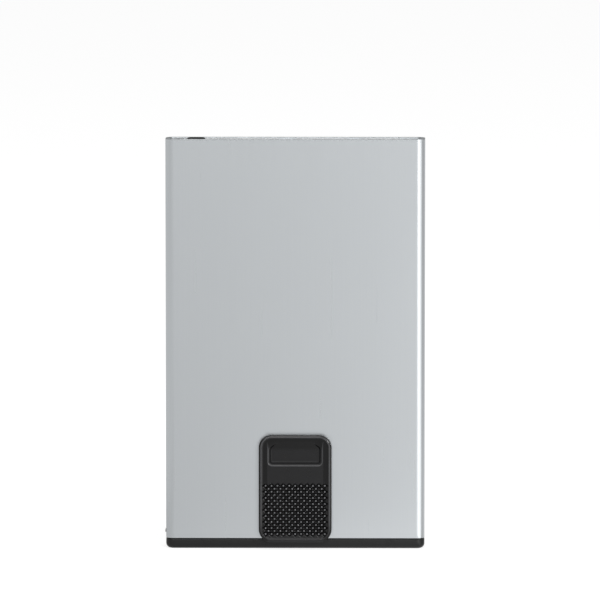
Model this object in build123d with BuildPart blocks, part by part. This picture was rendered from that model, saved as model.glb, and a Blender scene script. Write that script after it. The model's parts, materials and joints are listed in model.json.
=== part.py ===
from build123d import *
import os

os.makedirs("parts", exist_ok=True)

# Lengths are in millimetres. X runs across the holder, Y from the thumb side to the back, Z up.
# The origin is the middle of the base: the holder stands on its end cap with the mouth on top.

# The cards that the holder is made round
card_width = 53.98
card_height = 85.6
card_count = 5
card_side_gap = 0.25
card_top_margin = 0.9

# Vertical corners of the sleeve. Its width, depth and height are worked out further down, from the
# cards and what lies round them: 64 x 8 mm, and 101.6 mm tall with the cap.
corner_radius = 2.0

# Clearances shared by several pieces
fit_gap = 0.1
slide_gap = 0.1
overrun = 0.5

# Extruded sleeve
wall = 0.9
edge_break = 0.2
slot_width = 6.0
slot_corner_radius = 1.0

# End cap, with two sockets in its top for the cradle's pegs
cap_height = 2.6
cap_edge_radius = 1.25
socket_depth = 1.4
socket_gap = 0.03

# Cradle: the legs, pegs and snap arms that hold the cap in the sleeve and the cards above it
ledge_width = 4.84
web_thickness = 0.7
web_height = 3.75
cradle_peg_radius = 1.0
cradle_peg_length = 1.3
leg_wall = 1.6
leg_pocket_depth = 4.2
arm_thickness = 0.8
arm_slit = 0.8
arm_length = 6.8
arm_end_gap = 0.6
tab_height = 1.4
tab_depth = 2.8
tab_tip_height = 0.6
tab_above_cap = 1.2
tab_proud = {"left": 0.2, "right": 0.0}
window_gap = 0.15

# Inner pieces stop this far below the mouth, and the right rail a little further down
mouth_recess = 0.3
rail_recess = {"left": 0.3, "right": 1.4}
rail_width = 3.76
rail_lead_in = 0.4

# Card spring: a steel sheet against the back wall, with two bowed tongues at the mouth
spring_thickness = 0.25
spring_seat_gap = 0.05
spring_grip = 0.76
tongue_width = 3.2
tongue_length = 24.0
tongue_slit = 0.5
tongue_root = 1.0
tongue_proud = 0.65
tongue_places = (-1.8, 14.7)
spring_corner_radius = 3.0

# Foam pad that brakes the cards, beside the left rail
foam_width = 5.0
foam_length = 16.0
foam_side_gap = 0.24
foam_top_step = 0.1
foam_edge_break = 0.2

# Felt strips on the front wall
felt_width = 8.0
felt_side_gap = 3.24
felt_gap = 0.1
felt_above_travel = 2.0

# Slide plate and the runners on its ends
travel = 17.0
plate_thickness = 0.6
plate_height = 12.0
plate_end_inset = 0.64
plate_corner_radius = 1.0
card_front_gap = 0.2
runner_width = 2.7
runner_height = 10.8
runner_front_gap = 0.05
runner_step = 0.15
runner_side_gap = 0.2
runner_edge_break = 0.15
runner_tongue_length = 2.0
runner_tongue_height = 4.0
window_height = 5.0
window_peg_margin = 1.7
window_end_margin = 1.1
window_radius = 1.0

# Stepped pusher block
block_side_gap = 0.5
block_back_gap = 0.05
front_step_height = 3.5
step_depth = 0.86
step_rise = 1.975
top_step_gap = 0.3
core_width = 5.6
core_depth = 2.0
core_height = 2.4
core_pitch = 7.4
peg_radius = 0.8
peg_place = 9.0
peg_height = 3.0

# Leaf that brakes the slide on the back wall
leaf_thickness = 0.2
leaf_width = 4.0
leaf_span = 21.0
leaf_foot = 2.6
leaf_wall_gap = 0.1
leaf_top_margin = 1.4
leaf_pin_radius = 0.5
leaf_pin_height = 0.35
leaf_pin_gap = 0.05

# Rubber pad that the pusher lands on
stop_pad_thickness = 0.7
stop_pad_width = 24.0
stop_pad_depth = 3.2
landing_gap = 0.1

# Thumb slider
slider_width = 18.0
slider_height = 26.7
slider_corner_radius = 3.2
slider_cap_overlap = 0.75
slider_face_gap = 0.2
slider_thickness = 1.8
rim_width = 1.3
rim_height = 0.4
rim_outer_radius = 0.5
rim_inner_radius = 0.25
scoop_width = 13.7
scoop_ramp = 2.3
scoop_floor = 4.2
scoop_depth = 0.9
scoop_top_gap = 0.05
scoop_corner_radius = 1.2
grip_width = 14.6
grip_height = 12.1
grip_base_margin = 0.7
grip_pitch = 1.46
grip_row_pitch = 1.5
stud_width = 0.8
stud_height = 0.3
stud_top_width = 0.26
stud_stand_angle = 90
stud_turn_angle = 45
stem_width = 5.6
stem_height = 5.6
stem_rise = 2.1
stem_corner_radius = 0.8
stem_gap = 0.05
stop_gap = 0.2
screw_hole_bottom = 0.5

# Slip film under the slider
film_thickness = 0.1
film_margin = 1.2

# Screws that hold the slider to the pusher
screw_radius = 0.7
screw_head_radius = 1.1
screw_head_height = 0.7
screw_clearance = 0.05
screw_thread_clearance = 0.02
screw_head_clearance = 0.2
screw_sink = 1.0
screw_pitch = 2.8
screw_rise = 1.7
screw_end_gap = 0.2
screw_socket_radius = 0.4
screw_socket_depth = 0.35
screw_socket_sides = 6

# Across: the card, a rail on each side of it and the walls
rail_face = card_width / 2 + card_side_gap
inner_width = 2 * (rail_face + rail_width + fit_gap)
width = inner_width + 2 * wall

# Through: the slide plate, the cards, the spring tongues and the walls
card_space_depth = card_count * step_depth + block_back_gap
plate_space = slide_gap + plate_thickness + card_front_gap
spring_space = tongue_proud + spring_thickness + spring_seat_gap
inner_depth = plate_space + card_space_depth + spring_space
depth = inner_depth + 2 * wall

# Up: the cap, the pusher's stairs under the cards, and the cards
moving_bottom = cap_height + stop_pad_thickness + landing_gap
front_step_top = moving_bottom + front_step_height
card_ledge = front_step_top + (card_count - 1) * step_rise + top_step_gap
height = card_ledge + card_height + card_top_margin

# Planes worked out from the sizes above
inner_radius = corner_radius - wall
front_face = -depth / 2
inner_front = -inner_depth / 2
inner_back = inner_depth / 2
plug_width = inner_width - 2 * fit_gap
plug_depth = inner_depth - 2 * fit_gap
plug_radius = inner_radius - fit_gap
inner_top = height - mouth_recess
leg_face = rail_face - ledge_width
arm_inner = plug_width / 2 - arm_thickness
cradle_peg_x = (leg_face + arm_inner - arm_slit) / 2

plate_front = inner_front + slide_gap
plate_back = plate_front + plate_thickness
runner_front = inner_front + runner_front_gap
runner_back = plate_back + runner_step
plate_half_width = rail_face - plate_end_inset
runner_outer = plate_half_width + runner_width
channel_back = runner_back + slide_gap
card_space_front = plate_back + card_front_gap
spring_back = inner_back - spring_seat_gap
spring_front = spring_back - spring_thickness
card_space_back = spring_front - tongue_proud

plate_top = moving_bottom + plate_height
inner_pieces_bottom = plate_top + travel + felt_above_travel
slider_bottom = cap_height - slider_cap_overlap
slider_middle = slider_bottom + slider_height / 2
slider_back = front_face - slider_face_gap
slider_front = slider_back - slider_thickness
field_face = slider_front + rim_height
stem_bottom = slider_bottom + stem_rise
stem_middle = stem_bottom + stem_height / 2
slot_top = stem_bottom + stem_height + travel + stop_gap
screw_level = stem_bottom + screw_rise
tab_bottom = cap_height + tab_above_cap

block_half_width = leg_face - block_side_gap
block_back = card_space_back - block_back_gap
leaf_middle = card_ledge - top_step_gap - leaf_top_margin - leaf_width / 2
leaf_pin_place = (leaf_span + leaf_foot) / 2

sides = (("left", -1), ("right", 1))


def xz_plane(y):
    """A plane across the holder at depth y, drawn with X across and Z up, facing the thumb side."""
    return Plane.XZ.offset(-y)


# Sleeve: one extruded tube, its ends deburred, with the stem's slot and the two snap windows
with BuildPart() as outer_sleeve:
    with BuildSketch(Plane.XY.offset(cap_height)):
        RectangleRounded(width, depth, corner_radius)
        RectangleRounded(inner_width, inner_depth, inner_radius, mode=Mode.SUBTRACT)
    extrude(amount=height - cap_height)
    chamfer(outer_sleeve.edges().group_by(Axis.Z)[-1], length=edge_break)
    chamfer(outer_sleeve.edges().group_by(Axis.Z)[0], length=edge_break)
    with BuildSketch(xz_plane(inner_front + overrun)) as slot:
        with Locations((0, (slot_top + cap_height - overrun) / 2)):
            Rectangle(slot_width, slot_top - cap_height + overrun)
        fillet(slot.vertices().group_by(Axis.Y)[-1], radius=slot_corner_radius)
    extrude(amount=wall + 2 * overrun, mode=Mode.SUBTRACT)
    slot_rim = outer_sleeve.faces().sort_by(Axis.Y)[0].edges()
    slot_rim = slot_rim.filter_by(lambda edge: abs(edge.center().X) < slot_width)
    slot_rim = slot_rim.filter_by(lambda edge: edge.center().Z > cap_height + 2 * edge_break)
    slot_rim = slot_rim.filter_by(lambda edge: edge.center().Z < slot_top + edge_break)
    chamfer(slot_rim, length=edge_break)
    with Locations((0, 0, tab_bottom + tab_height / 2)):
        Box(
            width + 2 * overrun,
            tab_depth + 2 * window_gap,
            tab_height + 2 * window_gap,
            mode=Mode.SUBTRACT,
        )
outer_sleeve.part.label = "outer_sleeve"
export_step(outer_sleeve.part, "parts/outer_sleeve.step")

# End cap: the black block that shows under the sleeve, flush with it and rounded underneath
with BuildPart() as bottom_cap:
    with BuildSketch():
        RectangleRounded(width, depth, corner_radius)
    extrude(amount=cap_height)
    fillet(bottom_cap.edges().group_by(Axis.Z)[0], radius=cap_edge_radius)
    with BuildSketch(Plane.XY.offset(cap_height - socket_depth)):
        with GridLocations(2 * cradle_peg_x, depth, 2, 1):
            Circle(cradle_peg_radius + socket_gap)
    extrude(amount=socket_depth, mode=Mode.SUBTRACT)
bottom_cap.part.label = "bottom_cap"
export_step(bottom_cap.part, "parts/bottom_cap.step")

# Cradle: two legs that hold the cards' corners, joined by a low web along the back, with a peg
# under each leg and a snap arm down its outer side
with BuildPart() as card_cradle:
    with BuildSketch(Plane.XY.offset(cap_height)):
        RectangleRounded(plug_width, plug_depth, plug_radius)
        Rectangle(2 * leg_face, depth, mode=Mode.SUBTRACT)
        with Locations((0, (front_face + channel_back) / 2)):
            Rectangle(width, channel_back - front_face, mode=Mode.SUBTRACT)
    extrude(amount=card_ledge - cap_height)
    with Locations((0, plug_depth / 2 - web_thickness / 2, cap_height + web_height / 2)):
        Box(2 * leg_face, web_thickness, web_height)
    with BuildSketch(Plane.XY.offset(cap_height - cradle_peg_length)):
        with GridLocations(2 * cradle_peg_x, depth, 2, 1):
            Circle(cradle_peg_radius)
    extrude(amount=cradle_peg_length)
    pocket_width = plug_width / 2 - arm_thickness - arm_slit - leg_face - 2 * leg_wall
    pocket_height = card_ledge - cap_height - 2 * leg_wall
    with BuildSketch(xz_plane(channel_back + leg_pocket_depth)):
        with Locations((0, cap_height + leg_wall + pocket_height / 2)):
            with GridLocations(2 * leg_face + 2 * leg_wall + pocket_width, height, 2, 1):
                Rectangle(pocket_width, pocket_height)
    extrude(amount=leg_pocket_depth, mode=Mode.SUBTRACT)
    with BuildSketch(xz_plane(inner_back)):
        with Locations((0, cap_height + (arm_end_gap + arm_length) / 2)):
            with GridLocations(2 * arm_inner - arm_slit, height, 2, 1):
                Rectangle(arm_slit, arm_end_gap + arm_length)
        with Locations((0, cap_height + arm_end_gap / 2)):
            with GridLocations(2 * arm_inner + arm_thickness + overrun, height, 2, 1):
                Rectangle(arm_thickness + overrun, arm_end_gap)
    extrude(amount=inner_depth, mode=Mode.SUBTRACT)
    for side_name, side in sides:
        tab_root = side * (plug_width / 2 - arm_thickness / 2)
        tab_tip = side * (width / 2 + tab_proud[side_name])
        with BuildSketch(Plane.XZ):
            with BuildLine():
                Polyline(
                    (tab_root, tab_bottom),
                    (tab_tip, tab_bottom),
                    (tab_tip, tab_bottom + tab_tip_height),
                    (tab_root, tab_bottom + tab_height),
                    close=True,
                )
            make_face()
        extrude(amount=tab_depth / 2, both=True)
card_cradle.part.label = "card_cradle"
export_step(card_cradle.part, "parts/card_cradle.step")

# Guide rails: moulded strips that fill each side of the sleeve above the cap's legs. The foot of
# the front inner corner is cut back as a track for the runner, the back inner corner holds the
# edge of the card spring.
for side_name, side in sides:
    with BuildPart() as guide_rail:
        with BuildSketch(Plane.XY.offset(card_ledge + fit_gap)):
            RectangleRounded(plug_width, plug_depth, plug_radius)
            with Locations((side * (rail_face - width / 2) / 2, 0)):
                Rectangle(rail_face + width / 2, depth, mode=Mode.SUBTRACT)
            groove_width = spring_grip + 2 * fit_gap
            groove_depth = plug_depth / 2 - spring_front + fit_gap
            groove_x = side * (rail_face + groove_width / 2)
            with Locations((groove_x, plug_depth / 2 - groove_depth / 2)):
                Rectangle(groove_width, groove_depth, mode=Mode.SUBTRACT)
        extrude(amount=height - rail_recess[side_name] - card_ledge - fit_gap)
        mouth_edges = guide_rail.edges().group_by(Axis.Z)[-1].filter_by(Axis.Y)
        lead_edge = mouth_edges.filter_by(lambda edge: abs(edge.center().X) < rail_face + fit_gap)
        chamfer(lead_edge, length=rail_lead_in)
        track_width = runner_outer + runner_side_gap - rail_face + overrun
        track_x = side * (rail_face - overrun + track_width / 2)
        track_height = inner_pieces_bottom - card_ledge
        with Locations((track_x, (inner_front + channel_back) / 2, card_ledge + track_height / 2)):
            Box(track_width, channel_back - inner_front, track_height, mode=Mode.SUBTRACT)
    guide_rail.part.label = f"{side_name}_guide_rail"
    export_step(guide_rail.part, f"parts/{side_name}_guide_rail.step")

# Card spring: the sheet's edges lie in the rails' grooves, and its tongues are cut from the top
with BuildPart() as card_spring:
    sheet_height = inner_top - inner_pieces_bottom
    with BuildSketch(xz_plane(spring_back)):
        with Locations((0, inner_pieces_bottom + sheet_height / 2)):
            RectangleRounded(2 * (rail_face + spring_grip), sheet_height, spring_corner_radius)
        for place in tongue_places:
            with Locations((place, inner_top - tongue_length / 2)):
                Rectangle(tongue_width + 2 * tongue_slit, tongue_length, mode=Mode.SUBTRACT)
    extrude(amount=spring_thickness)
    for place in tongue_places:
        sheet_middle = spring_back - spring_thickness / 2
        crest = card_space_back + spring_thickness / 2
        root_level = inner_top - tongue_length
        with BuildSketch(Plane.YZ.offset(place - tongue_width / 2)):
            with BuildLine() as tongue_line:
                Line((sheet_middle, root_level - tongue_root), (sheet_middle, root_level))
                ThreePointArc(
                    (sheet_middle, root_level),
                    (crest, inner_top - tongue_length / 2),
                    (sheet_middle - spring_thickness, inner_top - spring_thickness),
                )
            trace(tongue_line.edges(), line_width=spring_thickness)
        extrude(amount=tongue_width)
card_spring.part.label = "card_spring"
export_step(card_spring.part, "parts/card_spring.step")

# Foam pad glued to the spring sheet beside the left rail, level with the cards' top corner
with BuildPart() as card_brake_pad:
    foam_top = inner_top + foam_top_step
    foam_x = -(rail_face - foam_side_gap - foam_width / 2)
    with Locations((foam_x, (card_space_back + spring_front) / 2, foam_top - foam_length / 2)):
        Box(foam_width, tongue_proud, foam_length)
    chamfer(card_brake_pad.edges().group_by(Axis.Y)[0].filter_by(Axis.X), length=foam_edge_break)
card_brake_pad.part.label = "card_brake_pad"
export_step(card_brake_pad.part, "parts/card_brake_pad.step")

# Felt strips glued inside the front wall, above the slide's travel
for side_name, side in sides:
    with BuildPart() as felt_strip:
        felt_thickness = card_space_front - felt_gap - inner_front
        felt_x = rail_face - felt_side_gap - felt_width / 2
        with BuildSketch(xz_plane(inner_front + felt_thickness)):
            with Locations((side * felt_x, (inner_pieces_bottom + inner_top) / 2)):
                Rectangle(felt_width, inner_top - inner_pieces_bottom)
        extrude(amount=felt_thickness)
    felt_strip.part.label = f"{side_name}_felt_strip"
    export_step(felt_strip.part, f"parts/{side_name}_felt_strip.step")

# Rubber pad on the cap's floor
with BuildPart() as stop_pad:
    with BuildSketch(Plane.XY.offset(cap_height)):
        Rectangle(stop_pad_width, stop_pad_depth)
    extrude(amount=stop_pad_thickness)
stop_pad.part.label = "stop_pad"
export_step(stop_pad.part, "parts/stop_pad.step")

# Thumb slider: a thick moulded plate with a raised rim, a scooped finger recess and a studded grip.
# Its stem goes through the slot and butts against the pusher block.
with BuildPart() as thumb_slider:
    with BuildSketch(xz_plane(slider_back)):
        with Locations((0, slider_middle)):
            RectangleRounded(slider_width, slider_height, slider_corner_radius)
    extrude(amount=slider_thickness)
    fillet(thumb_slider.faces().sort_by(Axis.Y)[0].edges(), radius=rim_outer_radius)
    field_width = slider_width - 2 * rim_width
    field_height = slider_height - 2 * rim_width
    with BuildSketch(xz_plane(field_face)):
        with Locations((0, slider_middle)):
            RectangleRounded(field_width, field_height, slider_corner_radius - rim_width)
    extrude(amount=rim_height, mode=Mode.SUBTRACT)
    rim_crown = thumb_slider.faces().sort_by(Axis.Y)[0]
    fillet(rim_crown.inner_wires()[0].edges(), radius=rim_inner_radius)
    scoop_top = slider_bottom + slider_height - rim_width - scoop_top_gap
    scoop_face = field_face + scoop_depth
    scoop_bottom = scoop_top - scoop_ramp - scoop_floor
    with BuildSketch(Plane.YZ):
        with BuildLine():
            Polyline(
                (field_face, scoop_top),
                (scoop_face, scoop_top - scoop_ramp),
                (scoop_face, scoop_bottom),
                (field_face, scoop_bottom),
                close=True,
            )
        make_face()
    extrude(amount=scoop_width / 2, both=True, mode=Mode.SUBTRACT)
    scoop_corners = thumb_slider.edges().filter_by(Axis.Y)
    scoop_corners = scoop_corners.filter_by(lambda edge: abs(edge.center().Z - scoop_bottom) < fit_gap)
    fillet(scoop_corners, radius=scoop_corner_radius)
    grip_middle = slider_bottom + rim_width + grip_base_margin + grip_height / 2
    grip_columns = int(grip_width / grip_pitch) + 1
    grip_rows = int(grip_height / grip_row_pitch) + 1
    grip_plane = Plane(origin=(0, field_face, grip_middle), x_dir=(1, 0, 0), z_dir=(0, -1, 0))
    stud_top_low = (stud_width - stud_top_width) / 2
    stud_top_high = (stud_width + stud_top_width) / 2
    for columns, rows in ((grip_columns, grip_rows), (grip_columns - 1, grip_rows - 1)):
        with Locations(grip_plane):
            with GridLocations(grip_pitch, grip_row_pitch, columns, rows):
                Wedge(
                    stud_width,
                    stud_height,
                    stud_width,
                    stud_top_low,
                    stud_top_low,
                    stud_top_high,
                    stud_top_high,
                    rotation=(stud_stand_angle, stud_turn_angle, 0),
                    align=(Align.CENTER, Align.MIN, Align.CENTER),
                )
    with BuildSketch(xz_plane(plate_back)):
        with Locations((0, stem_middle)):
            RectangleRounded(stem_width, stem_height, stem_corner_radius)
    extrude(amount=plate_back - slider_back)
    with BuildSketch(xz_plane(plate_back)):
        with Locations((0, screw_level)):
            with GridLocations(screw_pitch, screw_pitch, 2, 1):
                Circle(screw_radius + screw_thread_clearance)
    extrude(amount=plate_back - slider_back + screw_hole_bottom, mode=Mode.SUBTRACT)
thumb_slider.part.label = "thumb_slider"
export_step(thumb_slider.part, "parts/thumb_slider.step")

# Slip film stuck to the slider's back, with a hole for the stem
with BuildPart() as slip_film:
    with BuildSketch(xz_plane(slider_back + film_thickness)):
        with Locations((0, slider_middle)):
            RectangleRounded(
                slider_width - 2 * film_margin,
                slider_height - 2 * film_margin,
                slider_corner_radius - film_margin,
            )
        with Locations((0, stem_middle)):
            Rectangle(stem_width + 2 * fit_gap, stem_height + 2 * fit_gap, mode=Mode.SUBTRACT)
    extrude(amount=film_thickness)
slip_film.part.label = "slip_film"
export_step(slip_film.part, "parts/slip_film.step")

# Slide plate: thin spring steel between the sleeve's front wall and the cards, notched for the
# stem, with two windows, the pusher's rivet holes and a seat for a runner on each end
with BuildPart() as slide_plate:
    plate_middle = moving_bottom + plate_height / 2
    window_inner = peg_place + peg_radius + window_peg_margin
    window_outer = plate_half_width - runner_tongue_length - window_end_margin
    window_width = window_outer - window_inner
    with BuildSketch(xz_plane(plate_back)):
        with Locations((0, plate_middle)):
            RectangleRounded(2 * plate_half_width, plate_height, plate_corner_radius)
            with GridLocations(window_inner + window_outer, plate_height, 2, 1):
                RectangleRounded(window_width, window_height, window_radius, mode=Mode.SUBTRACT)
            with GridLocations(2 * plate_half_width - runner_tongue_length, plate_height, 2, 1):
                Rectangle(runner_tongue_length, runner_tongue_height, mode=Mode.SUBTRACT)
        notch_height = stem_bottom + stem_height + stem_gap - moving_bottom
        with Locations((0, moving_bottom + notch_height / 2)):
            Rectangle(stem_width + 2 * stem_gap, notch_height, mode=Mode.SUBTRACT)
        with Locations((0, moving_bottom + peg_height)):
            with GridLocations(2 * peg_place, plate_height, 2, 1):
                Circle(peg_radius + screw_thread_clearance, mode=Mode.SUBTRACT)
    extrude(amount=plate_thickness)
slide_plate.part.label = "slide_plate"
export_step(slide_plate.part, "parts/slide_plate.step")

# Runners: slippery shoes on the plate's ends that run in the rails' tracks
for side_name, side in sides:
    with BuildPart() as runner:
        with BuildSketch(xz_plane(runner_back)):
            with Locations((side * (plate_half_width + runner_width / 2), plate_middle)):
                Rectangle(runner_width, runner_height)
        extrude(amount=runner_back - runner_front)
        chamfer(runner.edges().filter_by(Axis.X), length=runner_edge_break)
        with BuildSketch(xz_plane(plate_back)):
            with Locations((side * (plate_half_width - runner_tongue_length / 2), plate_middle)):
                Rectangle(runner_tongue_length, runner_tongue_height)
        extrude(amount=plate_thickness)
    runner.part.label = f"{side_name}_runner"
    export_step(runner.part, f"parts/{side_name}_runner.step")

# Pusher block: one step for each card, the lowest in front, so that the cards come up fanned
with BuildPart() as pusher_block:
    stairs = [(plate_back, moving_bottom), (plate_back, front_step_top)]
    for step in range(card_count):
        step_back = card_space_front + (step + 1) * step_depth
        step_top = front_step_top + step * step_rise
        stairs.append((step_back, step_top))
        if step < card_count - 1:
            stairs.append((step_back, step_top + step_rise))
    stairs.append((block_back, moving_bottom))
    with BuildSketch(Plane.YZ):
        with BuildLine():
            Polyline(*stairs, close=True)
        make_face()
    extrude(amount=block_half_width, both=True)
    core_count = int(block_half_width / core_pitch)
    with BuildSketch(Plane.XY.offset(moving_bottom)):
        with GridLocations(core_pitch, core_pitch, 2 * core_count + 1, 1):
            Rectangle(core_width, core_depth)
        Rectangle(core_pitch, core_depth, mode=Mode.SUBTRACT)
    extrude(amount=core_height, mode=Mode.SUBTRACT)
    with BuildSketch(xz_plane(plate_back)):
        with Locations((0, moving_bottom + peg_height)):
            with GridLocations(2 * peg_place, plate_height, 2, 1):
                Circle(peg_radius)
    extrude(amount=plate_thickness)
    back_plane = Plane(origin=(0, block_back, screw_level), x_dir=(-1, 0, 0), z_dir=(0, 1, 0))
    with Locations(back_plane):
        with GridLocations(screw_pitch, screw_pitch, 2, 1):
            CounterBoreHole(
                screw_radius + screw_clearance,
                screw_head_radius + screw_head_clearance,
                screw_sink,
            )
    leaf_plane = Plane(origin=(0, block_back, leaf_middle), x_dir=(-1, 0, 0), z_dir=(0, 1, 0))
    with BuildSketch(leaf_plane):
        with GridLocations(2 * leaf_pin_place, leaf_width, 2, 1):
            Circle(leaf_pin_radius)
    extrude(amount=leaf_pin_height)
pusher_block.part.label = "pusher_block"
export_step(pusher_block.part, "parts/pusher_block.step")

# Brake leaf: a bowed spring steel strip on the pusher's back that rubs on the back wall
with BuildPart() as brake_leaf:
    foot_middle = block_back + leaf_thickness / 2
    foot_inner = leaf_span / 2
    foot_outer = leaf_span / 2 + leaf_foot
    with BuildSketch(Plane.XY.offset(leaf_middle - leaf_width / 2)):
        with BuildLine() as leaf_line:
            Line((-foot_outer, foot_middle), (-foot_inner, foot_middle))
            ThreePointArc(
                (-foot_inner, foot_middle),
                (0, inner_back - leaf_wall_gap - leaf_thickness / 2),
                (foot_inner, foot_middle),
            )
            Line((foot_inner, foot_middle), (foot_outer, foot_middle))
        trace(leaf_line.edges(), line_width=leaf_thickness)
    extrude(amount=leaf_width)
    with BuildSketch(leaf_plane):
        with GridLocations(2 * leaf_pin_place, leaf_width, 2, 1):
            Circle(leaf_pin_radius + leaf_pin_gap)
    extrude(amount=leaf_thickness + overrun, mode=Mode.SUBTRACT)
brake_leaf.part.label = "brake_leaf"
export_step(brake_leaf.part, "parts/brake_leaf.step")

# Screws: driven from the pusher's back into the slider's stem
with BuildPart() as slider_screws:
    head_seat = block_back - screw_sink
    thread_end = slider_back - screw_hole_bottom + screw_end_gap
    screw_plane = Plane(origin=(0, head_seat, screw_level), x_dir=(-1, 0, 0), z_dir=(0, 1, 0))
    with Locations(screw_plane):
        with GridLocations(screw_pitch, screw_pitch, 2, 1):
            Cylinder(
                screw_head_radius,
                screw_head_height,
                align=(Align.CENTER, Align.CENTER, Align.MIN),
            )
            Cylinder(
                screw_radius,
                head_seat - thread_end,
                align=(Align.CENTER, Align.CENTER, Align.MAX),
            )
    socket_plane = screw_plane.offset(screw_head_height)
    with BuildSketch(socket_plane):
        with GridLocations(screw_pitch, screw_pitch, 2, 1):
            RegularPolygon(screw_socket_radius, screw_socket_sides)
    extrude(amount=-screw_socket_depth, mode=Mode.SUBTRACT)
slider_screws.part.label = "slider_screws"
export_step(slider_screws.part, "parts/slider_screws.step")
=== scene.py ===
# %% [markdown]
# This lesson finishes a slim card holder in Blender. On the real object a satin aluminium sleeve stands on
# a black moulded cap, and a black thumb slider runs in a slot low on its face. The engineering model
# already holds every piece at its real size and place. It comes in here as a fixed frame, and the lesson
# builds its looks round that.

# %% Load the frame
import json
import math

import bpy
import numpy as np
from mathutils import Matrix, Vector


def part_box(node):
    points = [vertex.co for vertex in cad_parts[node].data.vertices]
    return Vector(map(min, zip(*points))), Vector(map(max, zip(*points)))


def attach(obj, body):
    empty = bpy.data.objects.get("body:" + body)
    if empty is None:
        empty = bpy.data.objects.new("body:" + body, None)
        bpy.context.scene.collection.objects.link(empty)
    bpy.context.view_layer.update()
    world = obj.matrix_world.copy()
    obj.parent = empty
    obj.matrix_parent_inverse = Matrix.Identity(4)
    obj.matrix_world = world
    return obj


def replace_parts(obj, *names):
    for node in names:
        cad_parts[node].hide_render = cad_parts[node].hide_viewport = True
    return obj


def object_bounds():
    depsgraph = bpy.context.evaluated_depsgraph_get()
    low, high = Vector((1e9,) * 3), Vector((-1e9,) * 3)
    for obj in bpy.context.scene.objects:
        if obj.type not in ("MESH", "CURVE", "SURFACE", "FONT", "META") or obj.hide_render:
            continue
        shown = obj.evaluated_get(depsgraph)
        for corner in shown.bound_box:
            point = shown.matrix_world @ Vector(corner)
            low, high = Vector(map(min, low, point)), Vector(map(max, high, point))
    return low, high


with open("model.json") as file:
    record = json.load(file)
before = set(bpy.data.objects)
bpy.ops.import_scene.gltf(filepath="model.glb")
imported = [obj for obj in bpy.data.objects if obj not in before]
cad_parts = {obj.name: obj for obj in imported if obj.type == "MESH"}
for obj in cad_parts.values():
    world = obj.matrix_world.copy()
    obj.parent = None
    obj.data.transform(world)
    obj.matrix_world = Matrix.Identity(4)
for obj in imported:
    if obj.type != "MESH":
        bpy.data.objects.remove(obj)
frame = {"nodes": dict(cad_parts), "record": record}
cad_low, cad_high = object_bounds()

# %% [markdown]
# Blender counts in metres and a maker of small things counts in millimetres. One value turns the first into
# the second, and a helper reads the corners of any piece in millimetres. Every size below starts from such
# a box, so the new surfaces sit where the engineering model puts them.

# %% Millimetres
MM = 0.001


def box_mm(node):
    """The lowest and the highest corner of a piece of the frame, in millimetres."""
    low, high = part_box(node)
    return np.array(low) / MM, np.array(high) / MM


sleeve_low, sleeve_high = box_mm("outer_sleeve")
holder_low = np.array(cad_low) / MM
holder_high = np.array(cad_high) / MM
holder_middle = Vector((0, 0, (holder_low[2] + holder_high[2]) / 2))
print("holder, mm:", np.round(holder_high - holder_low, 2))
print("sleeve, mm:", np.round(sleeve_high - sleeve_low, 2))

# %% [markdown]
# The camera stands a metre and a half away with a long lens, so the holder's sides stay all but parallel.
# The lens is chosen from two facts: how many pixels one millimetre fills, and how far the camera stands.
# The camera looks a little down, so the mouth shows as a thin strip, and it stands slightly to the right.

# %% Camera
PICTURE_SIZE = 600
PIXELS_PER_MM = 4.043
CAMERA_DISTANCE = 1500.0
CAMERA_HEIGHT_ANGLE = math.radians(5.8)
CAMERA_RIGHT_ANGLE = math.radians(0.6)
CAMERA_CLIP_RATIO = 10
SENSOR_WIDTH = 36.0
AIM_RIGHT = 1.14
AIM_UP = 10.61


def camera_axes(right_angle, height_angle):
    """Unit vectors from the object to the camera, to the picture's right and to its top.

    The first is the front direction, turned towards the right and then raised. Straight up crossed with it
    gives the second, and the first crossed with the second gives the third."""
    level = math.cos(height_angle)
    back = Vector((math.sin(right_angle) * level, -math.cos(right_angle) * level, math.sin(height_angle)))
    right = Vector((0, 0, 1)).cross(back).normalized()
    return back, right, back.cross(right)


def stand(thing, aim, back, distance):
    """Puts a camera or a lamp into the scene, so that it looks at a point in mm from a distance."""
    thing.location = (aim + back * distance) * MM
    thing.rotation_mode = "QUATERNION"
    thing.rotation_quaternion = back.to_track_quat("Z", "Y")
    bpy.context.scene.collection.objects.link(thing)


def add_camera():
    """A long lens, aimed so that the holder's middle lies left of the picture's and below it.

    The lens is the distance times the sensor's width times a millimetre's share of the picture."""
    data = bpy.data.cameras.new("camera")
    data.sensor_width = SENSOR_WIDTH
    data.lens = CAMERA_DISTANCE * PIXELS_PER_MM / PICTURE_SIZE * SENSOR_WIDTH
    data.clip_start = CAMERA_DISTANCE * MM / CAMERA_CLIP_RATIO
    data.clip_end = CAMERA_DISTANCE * MM * CAMERA_CLIP_RATIO
    camera = bpy.data.objects.new("camera", data)
    back, right, up = camera_axes(CAMERA_RIGHT_ANGLE, CAMERA_HEIGHT_ANGLE)
    stand(camera, holder_middle + right * AIM_RIGHT + up * AIM_UP, back, CAMERA_DISTANCE)
    return camera


bpy.context.scene.camera = add_camera()
print("lens, mm:", round(bpy.context.scene.camera.data.lens))

# %% [markdown]
# A shader tree is a small program, and it reads best as one. The class Wire stands for one output of a
# node. Adding or multiplying wires adds Math nodes, so a mask is written as a sum and not as a chain of
# clicks. The class Tree adds any other node by its type, with its settings first and its inputs after them.
# Sizes in it are millimetres.

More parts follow.
